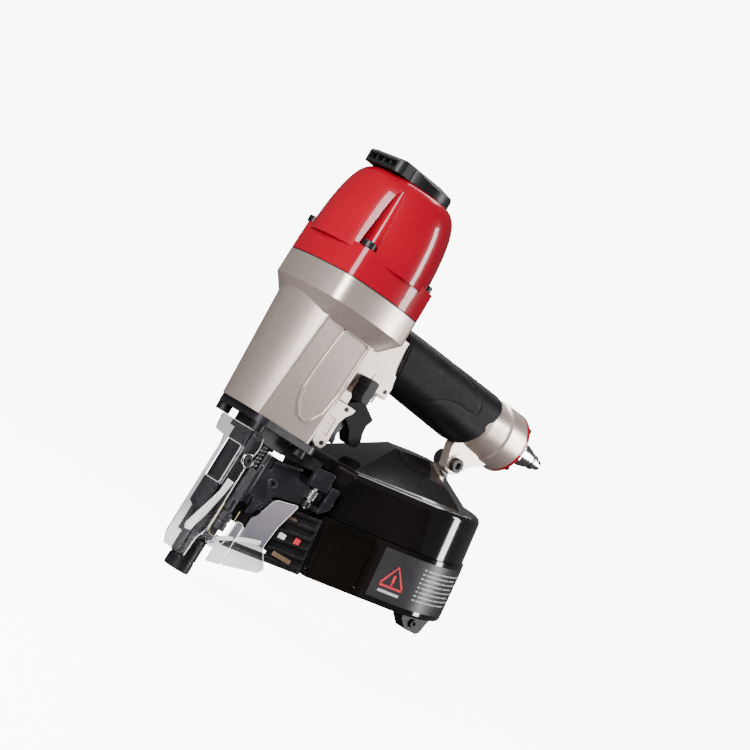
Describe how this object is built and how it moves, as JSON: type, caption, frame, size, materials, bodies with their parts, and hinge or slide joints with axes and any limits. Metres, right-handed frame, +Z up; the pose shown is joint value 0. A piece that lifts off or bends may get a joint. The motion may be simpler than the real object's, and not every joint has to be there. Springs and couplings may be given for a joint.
{
  "type": "pneumatic coil nailer",
  "caption": "Compressed-air coil nailer with a turning exhaust hood, rubber grip, feeder door and a tilted drum magazine under the handle.",
  "frame": {"origin": "centre of the contact tip's bottom face, on the driver axis", "axes": "+Z up the driver axis to the exhaust hood, +X towards the air plug, -Y the side with the feeder door"},
  "size_m": [0.2846, 0.1268, 0.3035],
  "materials": {
    "champagne_paint": "satin metallic paint on die-cast alloy",
    "red_paint": "high gloss paint on die-cast alloy",
    "black_screw": "black oxide",
    "hood_black": "satin moulded",
    "trigger_black": "satin moulded",
    "sleeve_alloy": "hard anodised",
    "seal_rubber": "matt",
    "valve_white": "satin moulded",
    "spring_steel": "drawn wire",
    "tool_steel": "ground and hardened",
    "nose_black": "satin black on steel",
    "grip_rubber": "fine ribbed",
    "plug_chrome": "polished",
    "clear_guard": "clear moulded plastic",
    "magazine_gloss": "piano gloss, smoked",
    "window_smoke": "smoked gloss",
    "guide_black": "satin moulded"
  },
  "bodies": {
    "tool_body": {"housing": "champagne_paint", "cylinder_cap": "red_paint", "cap_gasket": "seal_rubber", "cap_screws": "black_screw", "deflector_screw": "black_screw", "cylinder_sleeve": "sleeve_alloy", "cylinder_seals": "seal_rubber", "bumper": "seal_rubber", "guide_pins": "black_screw", "arm_guide": "champagne_paint", "trigger_valve_body": "sleeve_alloy", "roll_pins": "black_screw", "grip": "grip_rubber", "end_cap": "red_paint", "end_cap_screws": "black_screw", "plug_bushing": "plug_chrome", "air_plug": "plug_chrome", "nose_body": "nose_black", "nose_screws": "black_screw", "debris_shield": "clear_guard", "shield_screw": "black_screw", "door_hinge_pin": "spring_steel", "feed_cylinder": "sleeve_alloy", "strip_guide": "guide_black", "magazine_body": "magazine_gloss", "cover_hinge_pin": "spring_steel", "rear_bracket": "nose_black", "lug_screw": "black_screw", "lug_nut": "seal_rubber", "head_valve_spring": "spring_steel", "valve_spring": "spring_steel", "arm_spring": "spring_steel"},
    "exhaust_hood": {"exhaust_deflector": "hood_black"},
    "drive_piston": {"piston": "sleeve_alloy", "piston_ring": "seal_rubber", "driver_blade": "tool_steel"},
    "head_valve": {"head_valve": "valve_white", "head_valve_ring": "seal_rubber"},
    "trigger": {"trigger": "trigger_black"},
    "valve_stem": {"valve_stem": "valve_white"},
    "selector": {"selector_lever": "hood_black"},
    "contact_arm": {"contact_tip": "nose_black", "contact_arm": "nose_black", "upper_arm": "nose_black"},
    "depth_dial": {"depth_dial": "nose_black"},
    "feeder_door": {"feeder_door": "nose_black", "door_shield": "clear_guard", "latch_pin": "spring_steel", "latch_spring": "spring_steel", "check_pawl_pin": "spring_steel"},
    "door_latch": {"door_latch": "nose_black"},
    "check_pawl": {"check_pawl": "tool_steel"},
    "feed_piston": {"feed_piston": "sleeve_alloy", "feed_pawl": "tool_steel"},
    "bucket": {"magazine_cover": "magazine_gloss", "cover_window": "window_smoke", "magazine_foot": "hood_black", "foot_screw": "black_screw"},
    "nail_platform": {"nail_platform": "guide_black"}
  },
  "joints": [
    {"name": "deflector_turn", "type": "hinge", "parent": "tool_body", "child": "exhaust_hood", "pos_m": [0, 0, 0.29], "axis": [0, 0, 1], "continuous": true},
    {"name": "piston_stroke", "type": "slide", "parent": "tool_body", "child": "drive_piston", "axis": [0, 0, 1], "range_m": [-0.097, 0]},
    {"name": "head_valve_lift", "type": "slide", "parent": "tool_body", "child": "head_valve", "axis": [0, 0, 1], "range_m": [0, 0.003], "stiffness_N_per_m": 2000, "springref_m": -0.005, "deforming": ["head_valve_spring"]},
    {"name": "trigger_pull", "type": "hinge", "parent": "tool_body", "child": "trigger", "pos_m": [0.0467, 0, 0.1466], "axis": [0, -1, 0], "range_deg": [0, 12], "stiffness_Nm_per_rad": 0.4, "springref_deg": -5.73},
    {"name": "valve_stem_lift", "type": "slide", "parent": "tool_body", "child": "valve_stem", "axis": [0, 0, 1], "range_m": [0, 0.003], "deforming": ["valve_spring"]},
    {"name": "selector_turn", "type": "hinge", "parent": "tool_body", "child": "selector", "pos_m": [0.0378, 0, 0.1625], "axis": [0, 1, 0], "range_deg": [0, 90]},
    {"name": "contact_arm_lift", "type": "slide", "parent": "tool_body", "child": "contact_arm", "axis": [0, 0, 1], "range_m": [0, 0.01], "stiffness_N_per_m": 600, "springref_m": -0.05, "deforming": ["arm_spring"]},
    {"name": "depth_dial_turn", "type": "hinge", "parent": "contact_arm", "child": "depth_dial", "pos_m": [-0.0008, -0.0142, 0.042], "axis": [0, 0, 1], "continuous": true},
    {"name": "door_swing", "type": "hinge", "parent": "tool_body", "child": "feeder_door", "pos_m": [0.00596, -0.0126, 0.072], "axis": [0, 0, -1], "range_deg": [0, 75]},
    {"name": "latch_turn", "type": "hinge", "parent": "feeder_door", "child": "door_latch", "pos_m": [0.04154, -0.02923, 0.08], "axis": [0, 0, -1], "range_deg": [0, 25], "stiffness_Nm_per_rad": 0.05, "springref_deg": -11.46},
    {"name": "check_pawl_swing", "type": "hinge", "parent": "feeder_door", "child": "check_pawl", "pos_m": [0.01544, -0.01368, 0.068], "axis": [0, 0, 1], "range_deg": [0, 10], "stiffness_Nm_per_rad": 0.01, "springref_deg": -11.46},
    {"name": "feed_stroke", "type": "slide", "parent": "tool_body", "child": "feed_piston", "axis": [0.9291, -0.3697, 0], "range_m": [0, 0.008], "stiffness_N_per_m": 400, "springref_m": -0.01},
    {"name": "bucket_swing", "type": "hinge", "parent": "tool_body", "child": "bucket", "pos_m": [0.19912, -0.004, 0.10421], "axis": [0, -1, 0], "range_deg": [0, 60]},
    {"name": "platform_slide", "type": "slide", "parent": "bucket", "child": "nail_platform", "axis": [-0.165, 0, 0.9863], "range_m": [0, 0.02]}
  ],
  "couplings": [
    {"joint": "valve_stem_lift", "follows": "trigger_pull", "m_per_rad": 0.0143}
  ]
}
